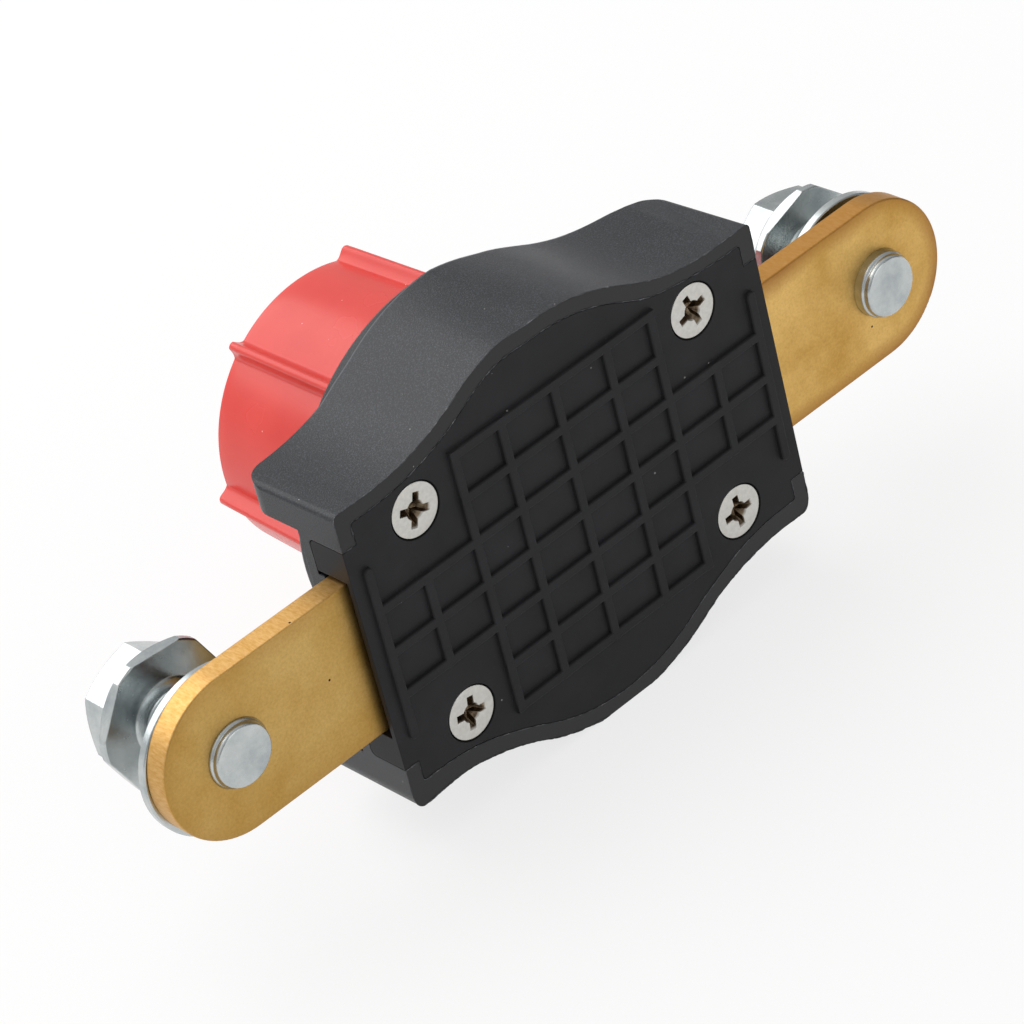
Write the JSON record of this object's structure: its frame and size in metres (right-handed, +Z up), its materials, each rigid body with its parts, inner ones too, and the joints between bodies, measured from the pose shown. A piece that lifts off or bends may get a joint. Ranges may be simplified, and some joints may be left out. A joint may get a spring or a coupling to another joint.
{
  "type": "battery disconnect switch",
  "caption": "Knob-turned battery disconnect switch: black ribbed housing, red grip knob, and flat brass terminal bars with flanged hexagon bolts and washers.",
  "frame": {"origin": "on the knob's axis, in the plane of the rib tops on the back cover", "axes": "+X along the terminal bars towards the left bar, +Y out of the ribbed back, +Z up across the bars"},
  "size_m": [0.1505, 0.0542, 0.0664],
  "materials": {
    "housing_black": "fine grained black moulding",
    "cover_black": "smooth dull black moulding",
    "screw_nickel": "satin nickel plate",
    "brass": "dull brass, sawn edges",
    "zinc": "bright bluish zinc plate",
    "knob_red": "satin red moulding",
    "steel": "plain steel",
    "rubber": "black rubber",
    "carrier_plastic": "natural glass-filled nylon",
    "copper": "plain copper"
  },
  "bodies": {
    "switch_body": {"housing": "housing_black", "back_cover": "cover_black", "cover_screw_1": "screw_nickel", "cover_screw_2": "screw_nickel", "cover_screw_3": "screw_nickel", "cover_screw_4": "screw_nickel", "left_terminal_bar": "brass", "right_terminal_bar": "brass", "left_terminal_bolt": "zinc", "right_terminal_bolt": "zinc", "left_terminal_washer": "zinc", "right_terminal_washer": "zinc"},
    "rotor": {"knob": "knob_red", "knob_screw": "zinc", "knob_screw_washer": "zinc", "spindle": "steel", "spindle_seal": "rubber", "contact_carrier": "carrier_plastic", "contact_bridge": "copper", "contact_spring": "steel", "click_ball_1": "steel", "click_spring_1": "steel", "click_ball_2": "steel", "click_spring_2": "steel"}
  },
  "joints": [
    {"name": "knob_turn", "type": "hinge", "parent": "switch_body", "child": "rotor", "pos_m": [0, 0, 0], "axis": [0, 1, 0], "range_deg": [0, 90]}
  ]
}
